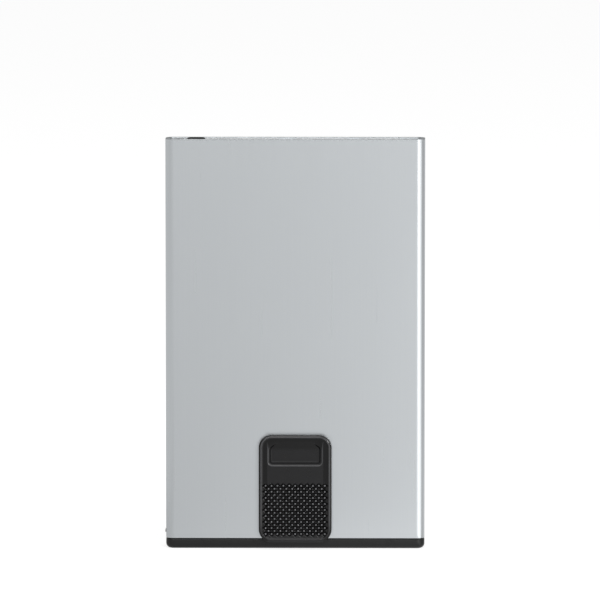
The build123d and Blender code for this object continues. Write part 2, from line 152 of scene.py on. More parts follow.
# %% Shader maths
class Wire:
    """One output of a node. Arithmetic on wires and numbers adds Math nodes to the same tree."""

    def __init__(self, tree, socket):
        self.tree = tree
        self.socket = socket

    def math(self, operation, *values):
        """A Math node that is fed with the values in their order."""
        return self.tree.node("ShaderNodeMath", {"operation": operation}, dict(enumerate(values)))

    def __add__(self, other):
        return self.math("ADD", self, other)

    def __sub__(self, other):
        return self.math("SUBTRACT", self, other)

    def __rsub__(self, other):
        return self.math("SUBTRACT", other, self)

    def __mul__(self, other):
        return self.math("MULTIPLY", self, other)

    __radd__ = __add__
    __rmul__ = __mul__

    def size(self):
        """The value without its sign."""
        return self.math("ABSOLUTE", self)

    def largest(self, other):
        """The larger of the two values."""
        return self.math("MAXIMUM", self, other)

    def swing(self, width):
        """The value less a half, times a width: a swing about 0 that is that wide."""
        return (self - 0.5) * width

    def between(self, low, high):
        """0 below low, 1 above high, and a soft step from one to the other. High may be the smaller one."""
        settings = {"interpolation_type": "SMOOTHSTEP"}
        inputs = {"Value": self, "From Min": low, "From Max": high}
        return self.tree.node("ShaderNodeMapRange", settings, inputs)


class Tree:
    """The node tree of a material or of a world."""

    def __init__(self, owner):
        owner.use_nodes = True
        self.nodes = owner.node_tree.nodes
        self.links = owner.node_tree.links

    def feed(self, socket, value):
        """Links a wire to an input, or writes a plain value into it."""
        if isinstance(value, Wire):
            self.links.new(value.socket, socket)
        else:
            socket.default_value = value

    def node(self, kind, settings=None, inputs=None, output=0):
        """Adds a node of that type, sets it up, feeds its inputs and returns one output as a wire."""
        made = self.nodes.new(kind)
        for name, value in (settings or {}).items():
            setattr(made, name, value)
        for key, value in (inputs or {}).items():
            self.feed(made.inputs[key], value)
        return Wire(self, made.outputs[output])

    def place(self, stretch=(1, 1, 1)):
        """The point on the object in millimetres, each axis multiplied by its stretch."""
        point = self.node("ShaderNodeTexCoord", output="Object")
        scale = [share / MM for share in stretch]
        return self.node("ShaderNodeMapping", {}, {"Vector": point, "Scale": scale})

    def axes(self):
        """The point on the object in millimetres, as three wires."""
        split = self.node("ShaderNodeSeparateXYZ", {}, {"Vector": self.place()}).socket.node
        return [Wire(self, output) for output in split.outputs]

    def noise(self, grain, detail=2.0, stretch=(1, 1, 1)):
        """Cloudy noise from 0 to 1, whose patches are about grain millimetres across."""
        inputs = {"Vector": self.place(stretch), "Scale": 1 / grain, "Detail": detail}
        return self.node("ShaderNodeTexNoise", {}, inputs)

    def mix(self, share, first, second):
        """The first colour where share is 0 and the second where it is 1."""
        inputs = {0: share, 6: first, 7: second}
        return self.node("ShaderNodeMix", {"data_type": "RGBA"}, inputs, output=2)

    def bump(self, height, depth):
        """A normal that tilts as if the surface rose by height times depth, in millimetres."""
        return self.node("ShaderNodeBump", {}, {"Height": height, "Distance": depth * MM})


def grey(level, blue=0.0):
    """A colour between black and white, with a little blue if wanted."""
    return (level, level, level + blue, 1.0)


def finish(name, **sockets):
    """Makes a material with one Principled shader. Returns it, its tree and a function that feeds it."""
    material = bpy.data.materials.new(name)
    tree = Tree(material)
    shader = tree.nodes["Principled BSDF"]

    def feed(**values):
        """Feeds the shader's inputs by their names."""
        for key, value in values.items():
            tree.feed(shader.inputs[key.replace("_", " ")], value)

    feed(**sockets)
    return material, tree, feed


print("shader helpers ready")

# %% [markdown]
# The sleeve is an aluminium extrusion, brushed along its length and then anodised. Three things make that
# finish: faint bright and dark streaks that run up the sleeve, a soft reflection that is a little rougher
# in the dark streaks, and grain too fine to see one by one, which only breaks up the highlight. All three
# come from noise that is stretched along the sleeve's height. Where hands and cards rub, at the mouth and
# along the corners, the satin is polished a little smoother. The sawn end at the top gets a darker colour as
# painted shade, and it is as rough as the inside.

# %% Satin aluminium
ALUMINIUM_DARK = (0.780, 0.817, 0.842, 1.0)
ALUMINIUM_LIGHT = (0.820, 0.857, 0.882, 1.0)
# The sawn end's colour is painted shade, darker than the anodised face.
CUT_END_SHADE = (0.460, 0.485, 0.500, 1.0)
STREAK_SHARE = 0.7
SATIN_ROUGHNESS = 0.26
ROUGHER_IN_STREAKS = 0.05
SMOOTHER_WHERE_RUBBED = 0.05
ROUGHER_UNFINISHED = 0.2
GRAIN_DEPTH = 0.0012
MOUTH_RUB = 0.5
CORNER_RUB_X = (31.0, 31.9)
CORNER_RUB_Y = (3.0, 3.9)
CUT_STARTS = 0.12
CUT_IS_FULL = 0.06
INSIDE_X = (31.4, 31.3)
INSIDE_Y = (3.4, 3.3)

materials = {}


def satin_aluminium():
    """The sleeve's metal: a colour and a roughness that follow long streaks, and a bump of fine grain.

    The masks are soft steps on the height and on the distances from the middle planes. Where two overlap,
    the larger counts."""
    material, tree, feed = finish("satin aluminium", Metallic=1.0)
    streaks = tree.noise(grain=0.5, detail=2.0, stretch=(1.0, 1.0, 0.012))
    clouds = tree.noise(grain=9.0, detail=1.0)
    fine = tree.noise(grain=0.07, detail=2.0, stretch=(1.0, 1.0, 0.04))
    x, y, z = tree.axes()
    at_mouth = z.between(sleeve_high[2] - MOUTH_RUB, sleeve_high[2])
    at_corner = x.size().between(*CORNER_RUB_X) * y.size().between(*CORNER_RUB_Y)
    shine = at_mouth.largest(at_corner)
    cut = z.between(sleeve_high[2] - CUT_STARTS, sleeve_high[2] - CUT_IS_FULL)
    inside = x.size().between(*INSIDE_X) * y.size().between(*INSIDE_Y)
    unfinished = (inside * ROUGHER_UNFINISHED).largest(cut * ROUGHER_UNFINISHED)
    pattern = streaks * STREAK_SHARE + clouds * (1 - STREAK_SHARE)
    anodised = tree.mix(pattern, ALUMINIUM_DARK, ALUMINIUM_LIGHT)
    satin = SATIN_ROUGHNESS + (1 - streaks) * ROUGHER_IN_STREAKS - shine * SMOOTHER_WHERE_RUBBED
    feed(
        # The cut end takes the darker colour: painted shade.
        Base_Color=tree.mix(cut, anodised, CUT_END_SHADE),
        Roughness=satin + unfinished,
        Normal=tree.bump(fine * (1 - cut), GRAIN_DEPTH),
    )
    return material


materials["satin_aluminium"] = satin_aluminium()
print("made", materials["satin_aluminium"].name)

# %% [markdown]
# The cap, the cradle, the rails and the pusher are moulded in black plastic from a sparked mould, which
# leaves a fine even texture. The slider is the piece that the thumb meets. Its mould is polished, so it has
# more gloss and a finer skin. Its colour also holds painted light: painted highlights on the rim's crown, the
# scoop's lip and the studs' tops, a faint painted sheen on the field, and painted shade that keeps the ramp
# and the grooves black. So it has a recipe of its own, which reads that painted light at each point.

# %% Moulded plastics
SLIDER_BLACK = grey(0.001, 0.0003)
# The grey of the painted highlights and painted sheen on the slider.
PAINTED_HIGHLIGHT_GREY = grey(0.25, 0.012)


def cap_plastic():
    """Black plastic: a mottled colour, a spark-eroded skin, and a roughness that swings with both."""
    material, tree, feed = finish("cap plastic", IOR=1.48)
    skin = tree.noise(grain=0.12, detail=3.0)
    mottle = tree.noise(grain=3.0, detail=2.0)
    feed(
        Base_Color=tree.mix(mottle, grey(0.006), grey(0.010)),
        Roughness=0.3 + skin.swing(0.16) + mottle.swing(0.08),
        Normal=tree.bump(skin, depth=0.003),
    )
    return material


def slider_plastic():
    """The slider's plastic: the painted-light attribute, made uneven by the mottle, mixes black and the grey
    of painted highlights and sheen.
    """
    material, tree, feed = finish("slider plastic", IOR=1.46)
    shine = tree.node("ShaderNodeAttribute", {"attribute_name": "shine"}, output="Fac")
    mottle = tree.noise(grain=2.5, detail=2.0)
    skin = tree.noise(grain=0.10, detail=3.0)
    feed(
        # Painted highlights and sheen grey the black where light would catch; where the attribute is 0, black
        # stands as painted shade.
        Base_Color=tree.mix(shine * (1 + mottle.swing(0.3)), SLIDER_BLACK, PAINTED_HIGHLIGHT_GREY),
        Roughness=0.16 + skin.swing(0.10) + mottle.swing(0.06),
        Normal=tree.bump(skin, depth=0.0005),
    )
    return material


materials["cap_plastic"] = cap_plastic()
materials["slider_plastic"] = slider_plastic()
print("materials so far:", len(materials))

# %% [markdown]
# Inside are a spring sheet, a slide plate, screws, soft pads and slippery shoes. They show through the
# mouth and when the slider is up, so each gets its own small recipe. Rolled steel has long lines along the
# rolling direction. Felt is a mat of loose fibres: its colour and its height vary from fibre to fibre. Foam
# has round cells, which a cell pattern gives.

# %% Metals inside
def rolled_steel(name, dark, light, roughness, lines):
    """Steel with rolling lines and a faint stain. The stretch of the noise says which way the lines run."""
    material, tree, feed = finish(name, Metallic=1.0)
    rolling = tree.noise(grain=0.25, detail=3.0, stretch=lines)
    stain = tree.noise(grain=5.0, detail=2.0)
    feed(
        Base_Color=tree.mix(rolling * 0.6 + stain * 0.4, dark, light),
        Roughness=roughness + rolling.swing(0.12),
        Normal=tree.bump(rolling, depth=0.003),
    )
    return material


materials["spring_steel"] = rolled_steel("spring steel", grey(0.72), grey(0.82), 0.46, lines=(1.0, 1.0, 0.03))
materials["screw_steel"] = rolled_steel("screw steel", grey(0.30), grey(0.38), 0.34, lines=(1.0, 0.1, 1.0))
print("materials so far:", len(materials))

# %% Soft and slippery materials
FOAM_CELL = 0.35


def felt():
    """Pressed felt: fine fibres and larger clumps set the colour and the bump, and a sheen lights the nap."""
    material, tree, feed = finish("pressed felt", Roughness=0.95, Sheen_Weight=0.5, Sheen_Roughness=0.5)
    fibres = tree.noise(grain=0.16, detail=5.0, stretch=(1.0, 1.0, 0.4))
    clumps = tree.noise(grain=1.1, detail=3.0)
    feed(
        Base_Color=tree.mix(fibres * 0.7 + clumps * 0.3, grey(0.012), grey(0.05)),
        Normal=tree.bump(fibres + clumps * 0.5, depth=0.08),
    )
    return material


def foam():
    """Closed cell foam: the distance to the nearest cell's middle sets the colour, gloss and bump."""
    material, tree, feed = finish("closed cell foam")
    inputs = {"Vector": tree.place(), "Scale": 1 / FOAM_CELL}
    cells = tree.node("ShaderNodeTexVoronoi", {}, inputs)
    feed(
        Base_Color=tree.mix(cells, grey(0.020), grey(0.006)),
        Roughness=0.8 + cells * 0.15,
        Normal=tree.bump(1 - cells, depth=0.10),
    )
    return material


def rubber():
    """Black rubber: a greyish bloom that also dulls the surface, over a finely textured skin."""
    material, tree, feed = finish("black rubber", IOR=1.45)
    bloom = tree.noise(grain=1.5, detail=4.0)
    skin = tree.noise(grain=0.1, detail=2.0)
    feed(
        Base_Color=tree.mix(bloom, grey(0.018), grey(0.035)),
        Roughness=0.7 + bloom * 0.15,
        Normal=tree.bump(skin, depth=0.01),
    )
    return material


def acetal():
    """White acetal: a slippery plastic that lets a little light in, with scuffs along the way it slides."""
    material, tree, feed = finish("white acetal", IOR=1.48, Subsurface_Weight=0.15, Subsurface_Scale=0.5 * MM)
    scuffs = tree.noise(grain=0.3, detail=3.0, stretch=(1.0, 1.0, 0.05))
    feed(
        Base_Color=tree.mix(scuffs, (0.66, 0.66, 0.63, 1.0), (0.74, 0.74, 0.71, 1.0)),
        Roughness=0.3 + scuffs * 0.2,
        Normal=tree.bump(scuffs, depth=0.004),
    )
    return material


def smoky_film():
    """Smoky slip film: one haze sets the colour, the gloss and a slight bump."""
    material, tree, feed = finish("slip film", IOR=1.5)
    haze = tree.noise(grain=1.2, detail=3.0)
    feed(
        Base_Color=tree.mix(haze, grey(0.03), grey(0.06)),
        Roughness=0.22 + haze * 0.2,
        Normal=tree.bump(haze, depth=0.004),
    )
    return material


materials["black_felt"] = felt()
materials["black_foam"] = foam()
materials["black_rubber"] = rubber()
materials["acetal"] = acetal()
materials["slip_film"] = smoky_film()
print("materials:", ", ".join(sorted(materials)))

# %% [markdown]
# The record of the object says which finish each piece has. Pieces whose engineered shape is already the
# real one keep it and only get their material here. The sleeve, the slider, the cap and the soft pads are
# built anew further down.

# %% Dress the pieces that stay
slots = {part["node"]: part["material_slot"] for part in frame["record"]["subparts"]}


def dress(piece, slot_name):
    """Gives a piece one material in place of those it has."""
    piece.data.materials.clear()
    piece.data.materials.append(materials[slot_name])


for node_name, node_object in frame["nodes"].items():
    dress(node_object, slots[node_name])
print("dressed", len(slots), "pieces")

# %% [markdown]
# New pieces are surfaces worked out as whole numpy arrays. A grid of points comes from a function of two
# parameters. One helper numbers the faces of such a grid, and a second one makes a mesh object with its
# material that rides on its body.

# %% Grids into meshes
def grid_faces(rows, columns, first=0, closed=False):
    """Four-cornered faces of a grid of points that are numbered row by row.

    Each face joins a point, its right neighbour and the two above them. A closed grid joins its last column
    to its first."""
    numbers = first + np.arange(rows * columns).reshape(rows, columns)
    if closed:
        numbers = np.hstack([numbers, numbers[:, :1]])
    corners = (numbers[:-1, :-1], numbers[:-1, 1:], numbers[1:, 1:], numbers[1:, :-1])
    return np.stack([corner.ravel() for corner in corners], axis=1)


def new_piece(name, points, faces, slot_name, body):
    """A mesh object from points in mm and lists of corners, with its material, riding on a body."""
    mesh = bpy.data.meshes.new(name)
    mesh.from_pydata((np.asarray(points) * MM).tolist(), [], faces)
    mesh.validate()
    mesh.polygons.foreach_set("use_smooth", np.ones(len(mesh.polygons), bool))
    mesh.update()
    piece = bpy.data.objects.new(name, mesh)
    bpy.context.scene.collection.objects.link(piece)
    dress(piece, slot_name)
    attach(piece, body)
    print(name, "points", len(mesh.vertices), "faces", len(mesh.polygons))
    return piece


print("mesh helpers ready")

# %% [markdown]
# The sleeve is a rounded rectangle drawn up. Its skin is a function of two parameters: the way round the
# outline and the height. Lines of the grid run along the edges of the slot and of the two snap windows, so
# an opening is made by leaving out the faces inside it. The slot's upper corners are then rounded by moving
# the points on them onto an arc. A Solidify modifier gives the skin its wall, and a Bevel rounds every sawn
# edge a little, as a deburring wheel does.

# %% Sleeve outline
CORNER_RADIUS = 2.0
WALL = 0.9
DEBURR = 0.10
DEBURR_SEGMENTS = 3
DEBURR_FROM_ANGLE = math.radians(50)
SLOT_HALF_WIDTH = 3.0
SLOT_CORNER = 1.0
SLOT_CORNER_POINTS = 5
WINDOW_HALF_DEPTH = 1.55
WINDOW_GAP = 0.15
CORNER_STEPS = 14
CORNER_MARGIN = 0.15

half_width = sleeve_high[0]
half_depth = sleeve_high[1]


def outline_of_sleeve():
    """Points once round the sleeve, from the left of the front.

    Each straight wall gives its own stations, and each corner is a quarter circle about a centre that lies
    one radius inside both walls."""
    front = half_width - CORNER_RADIUS
    side = half_depth - CORNER_RADIUS
    slot = SLOT_HALF_WIDTH - SLOT_CORNER * (1 - np.linspace(0, 1, SLOT_CORNER_POINTS))
    beside_slot = (front + SLOT_HALF_WIDTH) / 2
    wall_x = np.concatenate([[0], slot, [beside_slot, front - CORNER_MARGIN, front]])
    wall_x = np.unique(np.concatenate([-wall_x, wall_x]))
    wall_y = np.array([WINDOW_HALF_DEPTH, side - CORNER_MARGIN, side])
    wall_y = np.concatenate([-wall_y[::-1], wall_y])
    walls = (
        (np.stack([wall_x, 0 * wall_x - half_depth], 1), (front, -side), -0.5),
        (np.stack([0 * wall_y + half_width, wall_y], 1), (front, side), 0.0),
        (np.stack([-wall_x, 0 * wall_x + half_depth], 1), (-front, side), 0.5),
        (np.stack([0 * wall_y - half_width, -wall_y], 1), (-front, -side), 1.0),
    )
    loop = []
    for wall, centre, half_turns in walls:
        angles = half_turns * math.pi + math.pi / 2 * np.arange(1, CORNER_STEPS) / CORNER_STEPS
        corner = np.stack([np.cos(angles), np.sin(angles)], 1) * CORNER_RADIUS + np.array(centre)
        loop += [wall, corner]
    return np.concatenate(loop)


sleeve_loop = outline_of_sleeve()
print("stations round the sleeve:", len(sleeve_loop))

# %% Sleeve skin
TAB_BOTTOM = 3.8
TAB_TOP = 5.2
SLOT_TOP = 26.75
ROW_IN_THE_MIDDLE = 60.0
ON_FRONT_SHARE = 0.99
ON_SIDE_SHARE = 0.999
TINY = 1e-6


def sleeve_skin():
    """The grid of the sleeve's outer face with its openings left out, as points and faces.

    Height runs up the rows and the outline runs along the columns. A face is left out when its middle lies
    in the slot or in a snap window."""
    slot_steps = SLOT_TOP - SLOT_CORNER * (1 - np.linspace(0, 1, SLOT_CORNER_POINTS))
    window_low = TAB_BOTTOM - WINDOW_GAP
    window_high = TAB_TOP + WINDOW_GAP
    rows = [sleeve_low[2], window_low, window_high, ROW_IN_THE_MIDDLE, sleeve_high[2]]
    heights = np.unique(np.concatenate([rows, slot_steps]))
    points = np.empty((len(heights), len(sleeve_loop), 3))
    points[..., :2] = sleeve_loop
    points[..., 2] = heights[:, None]
    faces = grid_faces(len(heights), len(sleeve_loop), closed=True)
    x, y, z = points.reshape(-1, 3)[faces].mean(1).T
    in_slot = (y < -half_depth * ON_FRONT_SHARE) & (abs(x) < SLOT_HALF_WIDTH) & (z < SLOT_TOP)
    in_window = (abs(x) > half_width * ON_SIDE_SHARE) & (abs(y) < WINDOW_HALF_DEPTH)
    in_window &= (z > window_low) & (z < window_high)
    return round_slot_corners(points.reshape(-1, 3)), faces[~(in_slot | in_window)]


def round_slot_corners(points):
    """Moves the points on the slot's two square corners onto quarter circles.

    A point on the side edge turns up to 45 degrees from the side, in proportion to its height in the
    corner, and a point on the top edge turns down to 45 degrees from the top."""
    x, y, z = points.T
    centre_x = SLOT_HALF_WIDTH - SLOT_CORNER
    centre_z = SLOT_TOP - SLOT_CORNER
    over = (abs(x) - centre_x) / SLOT_CORNER
    up = (z - centre_z) / SLOT_CORNER
    on_front = y < -half_depth + TINY
    on_side = on_front & (abs(over - 1) < TINY) & (up > TINY) & (up < 1 + TINY)
    on_top = on_front & (abs(up - 1) < TINY) & (over > TINY) & (over < 1 - TINY)
    angle = np.where(on_side, up, 2 - over) * math.pi / 4
    moved = on_side | on_top
    x[moved] = (np.sign(x) * (centre_x + SLOT_CORNER * np.cos(angle)))[moved]
    z[moved] = (centre_z + SLOT_CORNER * np.sin(angle))[moved]
    return points


def add_sleeve():
    """The skin with only the points that its faces use, and modifiers for its wall and its deburred edges."""
    points, faces = sleeve_skin()
    used = np.unique(faces)
    renumber = np.zeros(len(points), int)
    renumber[used] = np.arange(len(used))
    sleeve = new_piece("sleeve_skin", points[used], renumber[faces].tolist(), "satin_aluminium", "case")
    wall = sleeve.modifiers.new("wall", "SOLIDIFY")
    wall.thickness = WALL * MM
    wall.offset = -1
    wall.use_even_offset = True
    deburr = sleeve.modifiers.new("deburr", "BEVEL")
    deburr.width = DEBURR * MM
    deburr.segments = DEBURR_SEGMENTS
    deburr.limit_method = "ANGLE"
    deburr.angle_limit = DEBURR_FROM_ANGLE
    flat = sleeve.modifiers.new("flat faces stay flat", "WEIGHTED_NORMAL")
    flat.keep_sharp = True
    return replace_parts(sleeve, "outer_sleeve")


add_sleeve()

# %% [markdown]
# The slider is one moulding, and its front is a relief: every point has one depth. So the whole front is
# one function of width and height. It adds up a rim with a round crown, a scoop for the thumb with a ramp
# and a ledge, and the studs of the grip. Distances do the work: how far a point lies inside the outline
# shapes the rim, and how far it lies inside the scoop's outline shapes the scoop's wall.

# %% Slider sizes
SLIDER_CORNER = 3.2
SLIDER_THICKNESS = 1.8
RIM_WIDTH = 1.3
RIM_HEIGHT = 0.25
RIM_ROLL = 0.34
RIM_CREST = 0.7
RIM_INNER = 0.98
# The next ten values place painted highlights on the crown, the lip and the stud tops, and painted sheen on
# the field.
CROWN_INSET = 0.56
CROWN_REACH = 0.13
LIP_INSET = 0.12
LIP_REACH = 0.12
CROWN_PAINTED_HIGHLIGHT = 0.42
CROWN_PAINTED_HIGHLIGHT_AT_FOOT = 0.02
LIP_PAINTED_HIGHLIGHT = 0.26
FIELD_PAINTED_SHEEN = 0.045
STUD_TOP_PAINTED_HIGHLIGHT = 1.0
STUD_PAINTED_HIGHLIGHT_SHARE = 0.24
SCOOP_HALF_WIDTH = 6.85
SCOOP_DEPTH = 0.9
SCOOP_RAMP = 2.3
SCOOP_FLOOR = 4.2
SCOOP_CORNER = 1.2
SCOOP_WALL = 0.95
SCOOP_TURN = math.radians(40)
SCOOP_SPREAD = 0.15
SCOOP_FADE = 2.4
RAMP_STRAIGHT_SHARE = 0.6
# Painted shade keeps the ramp black down to this share of it, and the field's painted sheen comes in over the
# next span.
SHEEN_STARTS_ON_RAMP = 0.75
SHEEN_SPAN_ON_RAMP = 0.5
GRIP_PITCH = 1.46
GRIP_ROW_PITCH = 1.5
GRIP_BASE_MARGIN = 0.7
GRIP_HEIGHT = 12.1
GRIP_COLUMNS = 5
GRIP_ROWS = 4
COUNT_SLACK = 0.1
STUD_HEIGHT = 0.2
STUD_TOP_SHARE = 0.14
STUD_BASE_SHARE = 0.5
STUD_PIT = 0.6
STUD_SIDE_POWER = 0.9

slider_low, slider_high = box_mm("thumb_slider")
slider_half_width = slider_high[0]
slider_middle = (slider_low[2] + slider_high[2]) / 2
slider_half_height = (slider_high[2] - slider_low[2]) / 2
slider_back = slider_low[1] + SLIDER_THICKNESS
grip_middle = slider_low[2] + RIM_WIDTH + GRIP_BASE_MARGIN + GRIP_HEIGHT / 2
scoop_top = slider_high[2] - RIM_WIDTH
print("slider, mm:", np.round(slider_high - slider_low, 2))


# %% Slider relief
def soft_step(value):
    """0 below 0, 1 above 1, and three times its square less two times its cube between them."""
    share = np.clip(value, 0, 1)
    return share * share * (3 - 2 * share)


def inside_rounded(x, z, half_x, half_z, radius):
    """How far a point lies inside a rounded rectangle about the origin.

    The rectangle is shrunk by the radius. Outside the shrunk one the distance to it is taken from the
    radius, and inside it the smaller way to a side is added to the radius."""
    over_x = abs(x) - (half_x - radius)
    over_z = abs(z) - (half_z - radius)
    outside = np.hypot(np.maximum(over_x, 0), np.maximum(over_z, 0))
    inside = np.minimum(np.maximum(over_x, over_z), 0)
    return radius - outside - inside


def rim_relief(inset):
    """Height over the slider's back at an inset from its outline.

    The outer edge is a quarter ellipse that is level at the crest, and from there a soft step falls to the
    field inside the rim."""
    round_share = np.clip(1 - inset / RIM_CREST, 0, 1)
    edge = SLIDER_THICKNESS - RIM_ROLL * (1 - np.sqrt(1 - round_share**2))
    return edge - RIM_HEIGHT * soft_step((inset - RIM_CREST) / (RIM_INNER - RIM_CREST))


def bell(away, reach):
    """A bell curve: 1 at 0, and nearly 0 past twice the reach."""
    return np.exp(-((away / reach) ** 2))


def scoop_place(x, z):
    """How far a point lies inside the scoop's outline, and how far its wall has faded there, from 0 to 1.

    The wall fades by a soft step from the foot of the ramp up to the rim, and there the outline is wider."""
    fade = soft_step(1 - (scoop_top - z) / SCOOP_RAMP)
    half_height = (SCOOP_RAMP + SCOOP_FLOOR) / 2 + SCOOP_CORNER
    middle = scoop_top + 2 * SCOOP_CORNER - half_height
    half_width_here = SCOOP_HALF_WIDTH + fade * SCOOP_SPREAD
    return inside_rounded(x, z - middle, half_width_here, half_height, SCOOP_CORNER), fade


def scoop_relief(x, z):
    """Depth of the scoop. The ramp falls partly straight and partly by a soft step, and the floor is level.

    The wall limits the depth by part of an ellipse on the distance inside the scoop's outline: a round lip,
    level at the field and steep at the floor. Where the wall has faded the ellipse is wide, so the ramp's
    sides run out into the field."""
    inset, fade = scoop_place(x, z)
    along = np.clip((scoop_top - z) / SCOOP_RAMP, 0, 1)
    share = np.clip(inset / (SCOOP_WALL + fade * SCOOP_FADE), 0, 1)
    wall = (1 - np.sqrt(1 - (share * math.sin(SCOOP_TURN)) ** 2)) / (1 - math.cos(SCOOP_TURN))
    fall = RAMP_STRAIGHT_SHARE * along + (1 - RAMP_STRAIGHT_SHARE) * soft_step(along)
    return SCOOP_DEPTH * fall * wall


def stud_distance(x, z):
    """Distance to the nearest stud in pitches, and whether that stud is in the grip.

    The studs stand where the sum and the difference of the two counts of pitches are whole numbers. The
    cubes of the distances to those numbers are added, and their cube root is a distance whose outline is a
    rounded diamond."""
    column = x / GRIP_PITCH
    row = (z - grip_middle) / GRIP_ROW_PITCH
    total = column + row
    difference = column - row
    near_total = np.round(total)
    near_difference = np.round(difference)
    away = (abs(total - near_total) ** 3 + abs(difference - near_difference) ** 3) ** (1 / 3)
    stud_column = (near_total + near_difference) / 2
    stud_row = (near_total - near_difference) / 2
    in_columns = abs(stud_column) < GRIP_COLUMNS + COUNT_SLACK
    in_rows = abs(stud_row) < GRIP_ROWS + COUNT_SLACK
    return away, in_columns & in_rows


def stud_relief(x, z):
    """Height of the grip. Each stud has a small flat top, and its side falls to a groove between the studs.

    The height is a power of the share of the side that is left, from the groove up to the stud's top."""
    away, in_grip = stud_distance(x, z)
    side = np.clip((STUD_BASE_SHARE - away) / (STUD_BASE_SHARE - STUD_TOP_SHARE), 0, 1)
    return ((STUD_HEIGHT + STUD_PIT) * side ** STUD_SIDE_POWER - STUD_PIT) * in_grip


def slider_painted_light(x, z):
    """How much painted light greys the slider's front, from 0 to 1.

    The field and the scoop's floor get a faint painted sheen, and painted shade keeps the ramp and the
    grooves between the studs black. The rim's crown, the scoop's lip and the studs' tops get painted
    highlights: a bell curve across the first two and a dome on each stud. The crown's painted highlight fades
    towards the foot."""
    inset = inside_rounded(x, z - slider_middle, slider_half_width, slider_half_height, SLIDER_CORNER)
    above_foot = soft_step((z - slider_low[2]) / (2 * SLIDER_CORNER))
    crown = (CROWN_PAINTED_HIGHLIGHT_AT_FOOT + CROWN_PAINTED_HIGHLIGHT * above_foot) * bell(inset - CROWN_INSET, CROWN_REACH)
    scoop_inset, fade = scoop_place(x, z)
    lip = LIP_PAINTED_HIGHLIGHT * (1 - fade) * bell(scoop_inset - LIP_INSET, LIP_REACH)
    below_ramp = soft_step(((scoop_top - z) / SCOOP_RAMP - SHEEN_STARTS_ON_RAMP) / SHEEN_SPAN_ON_RAMP)
    between_sides = soft_step((SCOOP_HALF_WIDTH + LIP_REACH - abs(x)) / LIP_REACH)
    open_field = FIELD_PAINTED_SHEEN * below_ramp * between_sides
    away, in_grip = stud_distance(x, z)
    tops = STUD_TOP_PAINTED_HIGHLIGHT * np.maximum(1 - (away / STUD_PAINTED_HIGHLIGHT_SHARE) ** 2, 0)
    return np.where(in_grip, tops, open_field) + crown + lip


def slider_relief(x, z):
    """Height of the slider's front over its back: the rim and field, less the scoop, plus the studs."""
    inset = inside_rounded(x, z - slider_middle, slider_half_width, slider_half_height, SLIDER_CORNER)
    return rim_relief(inset) - scoop_relief(x, z) + stud_relief(x, z)


relief_in_grip = slider_relief(np.zeros(1), np.array([grip_middle]))
print("relief at the grip's middle, mm:", np.round(relief_in_grip, 3))

# %% [markdown]
# The relief needs fine stations at the studs and the rim and coarse ones elsewhere. A square grid would
# leave steps at the slider's round corners. So inside each corner the square is pressed onto a quarter
# disc, and the lines run along the outline all the way round.

# %% Slider grid
ROLL_SHARES = [0, 0.006, 0.025, 0.055, 0.1, 0.16, 0.24, 0.33, 0.42]
CREST_SHARES = [0.5, 0.6, 0.7, 0.8, 0.9, 1.0]
RIM_STATIONS = RIM_WIDTH * np.array(ROLL_SHARES + CREST_SHARES)
STUD_STEP = 0.1
BAND_STEP = 0.3
LEDGE_STEP = 0.08
FLOOR_STEP = 0.25
RAMP_STEP = 0.12
GRIP_MARGIN = 0.5
EDGE_MARGIN = 0.3
WALL_MARGIN = 0.2


def stations(*stretches):
    """Stations along one axis. Each stretch is a start, an end and a step.

    A stretch gets as many equal steps as its length over its step rounds to, and at least one."""
    runs = []
    for start, end, step in stretches:
        steps = max(1, round((end - start) / step))
        runs.append(np.linspace(start, end, steps + 1))
    return np.unique(np.round(np.concatenate(runs), 5))


def press_corners(x, z):
    """Presses the four corner squares of a rectangle onto quarter discs.

    The larger coordinate in the square becomes the radius, and the smaller over the larger, times an eighth
    of a full turn, becomes the angle from the axis of the larger one."""
    square_x = abs(x) - (slider_half_width - SLIDER_CORNER)
    square_z = abs(z) - (slider_half_height - SLIDER_CORNER)
    in_corner = (square_x > 0) & (square_z > 0)
    larger = np.maximum(square_x, square_z)
    smaller = np.minimum(square_x, square_z)
    turn = np.where(larger > 0, smaller / np.where(larger > 0, larger, 1), 0) * math.pi / 4
    long_way = larger * np.cos(turn)
    short_way = larger * np.sin(turn)
    new_x = np.where(square_x >= square_z, long_way, short_way) - square_x
    new_z = np.where(square_x >= square_z, short_way, long_way) - square_z
    return x + np.sign(x) * new_x * in_corner, z + np.sign(z) * new_z * in_corner


def slider_front():
    """The grid of the slider's front, as its points in mm and the painted light at each.

    The rows are fine over studs, ledge and ramp, and coarse over the band and the scoop's floor."""
    field_x = slider_half_width - RIM_WIDTH
    grip_top = grip_middle + GRIP_HEIGHT / 2 + GRIP_MARGIN
    ledge = scoop_top - SCOOP_RAMP - SCOOP_FLOOR
    below_ledge = ledge - EDGE_MARGIN
    above_ledge = ledge + SCOOP_WALL + WALL_MARGIN
    below_ramp = scoop_top - SCOOP_RAMP - EDGE_MARGIN
    x_inner = stations((-field_x, field_x, STUD_STEP))[1:-1]
    z_inner = stations(
        (slider_low[2] + RIM_WIDTH, grip_top, STUD_STEP),
        (grip_top, below_ledge, BAND_STEP),
        (below_ledge, above_ledge, LEDGE_STEP),
        (above_ledge, below_ramp, FLOOR_STEP),
        (below_ramp, scoop_top, RAMP_STEP),
    )[1:-1]
    x = np.concatenate([-slider_half_width + RIM_STATIONS, x_inner, slider_half_width - RIM_STATIONS[::-1]])
    z = np.concatenate([slider_low[2] + RIM_STATIONS, z_inner, slider_high[2] - RIM_STATIONS[::-1]])
    x, z = np.meshgrid(x, z)
    x, z = press_corners(x, z - slider_middle)
    z = z + slider_middle
    return np.stack([x, slider_back - slider_relief(x, z), z], axis=-1), slider_painted_light(x, z)


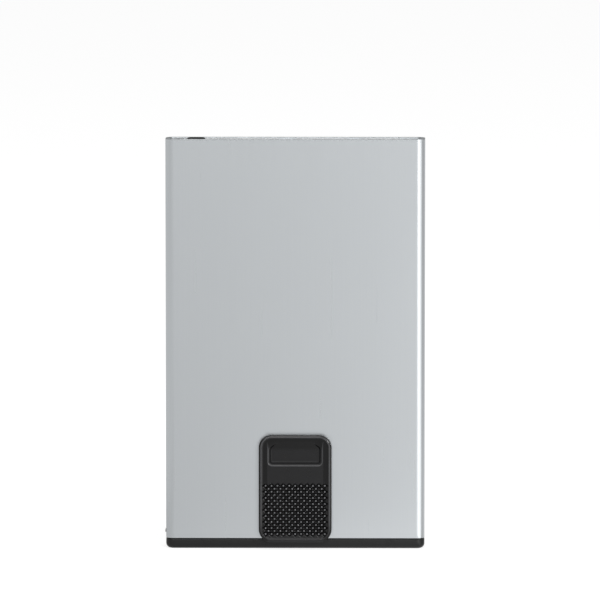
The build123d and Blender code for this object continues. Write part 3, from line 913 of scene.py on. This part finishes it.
def border_of(rows, columns):
    """Numbers of the points on the border of a grid, once round from its first point."""
    numbers = np.arange(rows * columns).reshape(rows, columns)
    sides = (numbers[0, :-1], numbers[:-1, -1], numbers[-1, :0:-1], numbers[:0:-1, 0])
    return np.concatenate(sides)


print("stations across the rim:", len(RIM_STATIONS))

# %% [markdown]
# Behind the relief, the slider's side runs straight back to a small rounded edge, and a flat back closes
# it. The stem that reaches through the slot is a second closed shell in the same piece. Both come from a
# section carried round a closed outline.

# %% Carried sections
def rounded_loop(half_x, half_z, radius, steps=8):
    """Points and outward normals once round a rounded rectangle about the origin.

    A point is its corner's centre plus the radius times its normal."""
    quarter = np.linspace(0, math.pi / 2, steps + 1)
    angles = np.concatenate([quarter + turn * math.pi / 2 for turn in range(4)])
    normals = np.stack([np.cos(angles), np.sin(angles)], axis=1)
    signs = np.repeat([(1, 1), (-1, 1), (-1, -1), (1, -1)], steps + 1, axis=0)
    centres = signs * np.array([half_x - radius, half_z - radius])
    return centres + radius * normals, normals


def carry(loop, normals, section, axis=1):
    """Rings of points. For each inset and depth of the section, the loop is drawn in along its normals and
    set at that depth on the axis."""
    rings = [np.insert(loop - normals * inset, axis, depth, axis=1) for inset, depth in section]
    return np.array(rings)


def round_edge(inset, depth, radius, toward, steps=4):
    """A section's quarter circle, from the side onto a face that looks toward +1 or -1 along the depth."""
    angles = np.linspace(0, math.pi / 2, steps + 1)
    insets = inset + radius * (1 - np.cos(angles))
    depths = depth - toward * radius * (1 - np.sin(angles))
    return list(zip(insets, depths))


def slab(loop, normals, section, first=0, axis=1):
    """A closed shell: the carried rings, with a many-sided face over the first ring and over the last.

    The loop runs against the clock where the axis points at the reader. On the middle axis of the three it
    runs with the clock, so there every face is turned over."""
    rings = carry(loop, normals, section, axis)
    count = len(loop)
    faces = grid_faces(len(rings), count, first, closed=True).tolist()
    last = first + (len(rings) - 1) * count
    faces.append(list(range(first, first + count))[::-1])
    faces.append(list(range(last, last + count)))
    if axis == 1:
        faces = [face[::-1] for face in faces]
    return rings.reshape(-1, 3), faces


print("section helpers ready")

# %% Slider
BACK_EDGE_RADIUS = 0.55
STEM_HALF_WIDTH = 2.8
STEM_CORNER = 0.8
STEM_BOTTOM = 2.1
STEM_HEIGHT = 5.6
STEM_EDGE = 0.1


def slider_shell():
    """The relief, its side and its back as one closed shell.

    A border point's normal points to it from the nearest corner's centre, and straight out where the side is
    straight. The side is the border carried back along these normals."""
    front, painted_light = slider_front()
    rows, columns = front.shape[:2]
    points = front.reshape(-1, 3)
    faces = grid_faces(rows, columns).tolist()
    border = border_of(rows, columns)
    edge = points[border]
    centre = np.array([0, slider_middle])
    flat = edge[:, [0, 2]] - centre
    reach = np.maximum(abs(flat) - np.array([slider_half_width, slider_half_height]) + SLIDER_CORNER, 0)
    normals = np.sign(flat) * reach
    normals /= np.linalg.norm(normals, axis=1)[:, None]
    section = [(0, slider_back - BACK_EDGE_RADIUS)]
    section += round_edge(0, slider_back, BACK_EDGE_RADIUS, toward=1)[1:]
    rings = carry(flat, normals, section)
    rings[..., 2] += slider_middle
    count = len(border)
    first = len(points)
    loops = np.vstack([border[None, :], first + np.arange(len(rings) * count).reshape(len(rings), count)])
    loops = np.hstack([loops, loops[:, :1]])
    side = np.stack([loops[:-1, :-1], loops[1:, :-1], loops[1:, 1:], loops[:-1, 1:]], axis=-1).reshape(-1, 4)
    faces += side.tolist()
    faces.append(loops[-1, :-1][::-1].tolist())
    return np.concatenate([points, rings.reshape(-1, 3)]), faces, painted_light.ravel()


def add_slider():
    """The shell and the stem as one piece, with the painted light at each point as an attribute. The stem
    gets none.
    """
    points, faces, painted_light = slider_shell()
    stem_end = slider_high[1]
    loop, normals = rounded_loop(STEM_HALF_WIDTH, STEM_HEIGHT / 2, STEM_CORNER)
    section = [(0, slider_back - BACK_EDGE_RADIUS), (0, stem_end - STEM_EDGE)]
    section += round_edge(0, stem_end, STEM_EDGE, toward=1)[1:]
    stem, stem_faces = slab(loop, normals, section, len(points))
    stem[:, 2] += slider_low[2] + STEM_BOTTOM + STEM_HEIGHT / 2
    points = np.concatenate([points, stem])
    slider = new_piece("slider_shell", points, faces + stem_faces, "slider_plastic", "slide")
    # The attribute carries the slider's painted highlights, sheen and shade to its material.
    shine = slider.data.attributes.new("shine", "FLOAT", "POINT")
    shine.data.foreach_set("value", np.pad(painted_light, (0, len(slider.data.vertices) - len(painted_light))))
    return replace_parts(slider, "thumb_slider")


add_slider()

# %% [markdown]
# The cap closes the sleeve's lower end. Its outline is the sleeve's own, and its lower edge is well
# rounded, because the holder goes in and out of pockets. Such a cap is moulded with a narrow rebate under
# the sleeve's cut end: the dark line that it draws hides small differences in the fit. The same carried
# section makes it, this time upwards.

# %% Cap
CAP_LOWER_RADIUS = 1.25
CAP_UPPER_RADIUS = 0.15
REVEAL_HEIGHT = 0.2
REVEAL_DEPTH = 0.45

cap_low, cap_high = box_mm("bottom_cap")


def add_cap():
    """The outline carried up: the round lower edge, the side, a small round upper edge, and the rebate."""
    loop, normals = rounded_loop(cap_high[0], cap_high[1], CORNER_RADIUS, CORNER_STEPS)
    rim_height = cap_high[2] - REVEAL_HEIGHT
    lower = round_edge(0, cap_low[2], CAP_LOWER_RADIUS, toward=-1, steps=8)[::-1]
    upper = round_edge(0, rim_height, CAP_UPPER_RADIUS, toward=1)
    section = lower + upper + [(REVEAL_DEPTH, rim_height), (REVEAL_DEPTH, cap_high[2])]
    points, faces = slab(loop, normals, section, axis=2)
    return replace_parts(new_piece("cap_shell", points, faces, "cap_plastic", "case"), "bottom_cap")


add_cap()

# %% [markdown]
# The pads are cut from soft sheet: a foam pad at the mouth, two strips of felt and a rubber pad at the
# bottom. A cut sheet has soft corners and sides that swell a little. A rounded box gives that: a ball whose
# two angles run through a power below one, which pushes the ball out towards its box. Waves of a few
# lengths then leave the faces a little uneven, more on felt than on rubber.

# %% Soft pads
LONG_WAVES = (2.9, 2.3)
WAVE_SHIFT = 1.3
SHORT_WAVES = (5.3, 7.1)


def swollen_box(low, high, square, wave, rows=48, columns=96):
    """A closed rounded box between two corners, in mm, as points and faces.

    A point has two angles. The sine and the cosine of each keep their sign, and their size is raised to the
    power square. Multiplied, they place the point between the middle and the box's faces. Then waves move
    the two wide faces by up to wave millimetres inwards: a product of two long waves plus a short one that
    runs aslant."""
    middle = (low + high) / 2
    half = (high - low) / 2
    tilt = np.linspace(-math.pi / 2, math.pi / 2, rows)[:, None]
    turn = (2 * math.pi * np.arange(columns) / columns)[None, :]

    def pushed(value):
        """The value's size raised to the power, with its sign."""
        return np.sign(value) * abs(value) ** square

    x = pushed(np.cos(tilt)) * pushed(np.cos(turn))
    y = pushed(np.cos(tilt)) * pushed(np.sin(turn))
    z = pushed(np.sin(tilt)) * np.ones_like(turn)
    points = np.stack([x, y, z], axis=-1) * half + middle
    across = points[..., 0]
    up = points[..., 2]
    ripple = np.sin(across * LONG_WAVES[0] + WAVE_SHIFT) * np.sin(up * LONG_WAVES[1])
    ripple += np.sin(up * SHORT_WAVES[1] + across * SHORT_WAVES[0])
    points[..., 1] -= y * wave * (1 + ripple / 2) / 2
    ring = points[1:-1]
    faces = grid_faces(rows - 2, columns, closed=True).tolist()
    count = ring.shape[0] * columns
    last = (rows - 3) * columns
    around = np.arange(columns)
    after = (around + 1) % columns
    faces += np.stack([np.full(columns, count), after, around], 1).tolist()
    faces += np.stack([np.full(columns, count + 1), last + around, last + after], 1).tolist()
    return np.concatenate([ring.reshape(-1, 3), points[0, :1], points[-1, :1]]), faces


def add_pad(name, node, slot_name, square, wave, rise=0.0):
    """A swollen box in the place of a piece, over that piece's own box with its top raised by rise."""
    low, high = box_mm(node)
    points, faces = swollen_box(low, high + np.array([0, 0, rise]), square, wave)
    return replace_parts(new_piece(name, points, faces, slot_name, "case"), node)


foam_pad = add_pad("foam_pad", "card_brake_pad", "black_foam", square=0.22, wave=0.05, rise=0.2)
add_pad("felt_left", "left_felt_strip", "black_felt", square=0.12, wave=0.12)
add_pad("felt_right", "right_felt_strip", "black_felt", square=0.12, wave=0.12)
add_pad("landing_pad", "stop_pad", "black_rubber", square=0.12, wave=0.02)

# %% [markdown]
# The studio is a floor in an even room, and both are white in the picture. Metal sees most of them at less
# than half that level, so the satin stays grey. The floor that metal sees is brighter to the right, at the
# far left and at the holder's foot. It is brightest in a wedge beside the right front corner, which puts
# the highlight on that edge, and it is dimmer past the wedge and far off. The light that the room casts is
# weak, so dark pieces stay dark.

# %% Floor and room
FLOOR_HALF = 8.0
FLOOR_COLOUR = grey(0.5)
FLOOR_COLOUR_IN_METAL = grey(0.03)
FLOOR_GLOW_IN_PICTURE = 0.75
FLOOR_GLOW_IN_METAL = 0.375
FLOOR_GLOW_TO_RIGHT = 0.34
FLOOR_GLOW_FAR_LEFT = 0.18
FLOOR_GLOW_AT_FOOT = 0.14
FLOOR_GLOW_IN_WEDGE = 0.52
SLOPE_REACH = 150
FAR_LEFT = (-45, -150)
FOOT_REACH = 130
FOOT_SIDES = (-50, 50)
WEDGE_TURNS = (7, 17, 54, 79, 180)
FLOOR_DIM_PAST_WEDGE = 0.33
FLOOR_DIM_FAR_OFF = 0.10
FAR_OFF = (-200, -1500)
ROOM_LIGHT = 0.4
ROOM_SEEN = 0.44
ROOM_SEEN_TO_LEFT = 0.07


def seen_directly(tree):
    """Two masks: 1 for rays from the camera, and 1 for rays that a surface mirrors or lets through.

    Both are 0 for soft light."""
    camera = tree.node("ShaderNodeLightPath", output="Is Camera Ray")
    mirror = tree.node("ShaderNodeLightPath", output="Is Glossy Ray")
    glass = tree.node("ShaderNodeLightPath", output="Is Transmission Ray")
    return camera, mirror.largest(glass)


def add_floor():
    """A square floor. What metal sees of it is an even level, plus and minus soft steps.

    Most of them run on the place. The wedge's run on the angle about the holder's right front corner, which
    is 0 straight to the front and grows towards the right."""
    half = FLOOR_HALF
    corners = [(-half, -half, 0), (half, -half, 0), (half, half, 0), (-half, half, 0)]
    mesh = bpy.data.meshes.new("floor")
    mesh.from_pydata(corners, [], [(0, 1, 2, 3)])
    floor = bpy.data.objects.new("floor", mesh)
    bpy.context.scene.collection.objects.link(floor)
    material, tree, feed = finish("white floor", Roughness=1.0, Specular_IOR_Level=0.0)
    camera, reflected = seen_directly(tree)
    feed(Base_Color=tree.mix(reflected, FLOOR_COLOUR, FLOOR_COLOUR_IN_METAL), Emission_Color=grey(1.0))
    x, y, _ = tree.axes()
    to_right = x.between(-SLOPE_REACH, SLOPE_REACH) * FLOOR_GLOW_TO_RIGHT
    far_left = x.between(*FAR_LEFT) * FLOOR_GLOW_FAR_LEFT
    far_off = y.between(*FAR_OFF) * FLOOR_DIM_FAR_OFF
    near_foot = (y - sleeve_low[1]).size().between(FOOT_REACH, 0)
    at_foot = near_foot * x.between(*FOOT_SIDES) * FLOOR_GLOW_AT_FOOT
    turn = x.math("ARCTAN2", x - sleeve_high[0], sleeve_low[1] - y)
    first, inner, outer, last, back = (math.radians(angle) for angle in WEDGE_TURNS)
    wedge = turn.between(first, inner) * FLOOR_GLOW_IN_WEDGE
    loss = FLOOR_GLOW_IN_WEDGE + FLOOR_DIM_PAST_WEDGE * turn.between(back, last)
    past = turn.between(outer, last) * loss
    in_metal = FLOOR_GLOW_IN_METAL + to_right + far_left + at_foot + wedge - past - far_off
    feed(Emission_Strength=camera * FLOOR_GLOW_IN_PICTURE + reflected * in_metal)
    mesh.materials.append(material)


def add_room():
    """The room all round. Each mask puts what its rays see in place of the light that the room casts."""
    world = bpy.data.worlds.new("studio")
    bpy.context.scene.world = world
    tree = Tree(world)
    camera, reflected = seen_directly(tree)
    direction = tree.node("ShaderNodeTexCoord", output="Generated")
    to_right = tree.node("ShaderNodeSeparateXYZ", {}, {"Vector": direction})
    seen = ROOM_SEEN - to_right * ROOM_SEEN_TO_LEFT
    strength = ROOM_LIGHT + camera * (1 - ROOM_LIGHT) + reflected * (seen - ROOM_LIGHT)
    tree.feed(tree.nodes["Background"].inputs["Strength"], strength)
    tree.feed(tree.nodes["Background"].inputs["Color"], grey(1.0))


add_floor()
add_room()
print("floor width, m:", 2 * FLOOR_HALF)

# %% [markdown]
# Four lamps light the holder. Two large soft panels stand at the right and in front, a weak panel hangs
# above, and a small lamp draws the glints on the slider's rim.

# %% Softboxes
def softbox(name, turn, height_angle, distance, width, height, brightness):
    """A rectangular lamp that looks at the holder's middle. A brightness of 1 looks white in a mirror.

    Turn is counted from the front towards the right. The power is brightness times pi times area."""
    data = bpy.data.lights.new(name, "AREA")
    data.shape = "RECTANGLE"
    data.size = width * MM
    data.size_y = height * MM
    data.energy = brightness * math.pi * data.size * data.size_y
    lamp = bpy.data.objects.new(name, data)
    lamp.visible_camera = False
    back = camera_axes(math.radians(turn), math.radians(height_angle))[0]
    stand(lamp, holder_middle, back, distance)


softbox("right softbox", 37, 30, distance=2500, width=2500, height=2000, brightness=1.3)
softbox("front softbox", -12, 26, distance=2500, width=1400, height=900, brightness=2.8)
softbox("top softbox", 0, 75, distance=1500, width=1200, height=1000, brightness=0.5)
softbox("corner light", 25, 9, distance=1500, width=150, height=150, brightness=42.0)
print("lamps:", len(bpy.data.lights))

# %% [markdown]
# Last comes the colour setting. The plain view transform shows a colour as it was written.

# %% Finish
bpy.context.scene.view_settings.view_transform = "Standard"
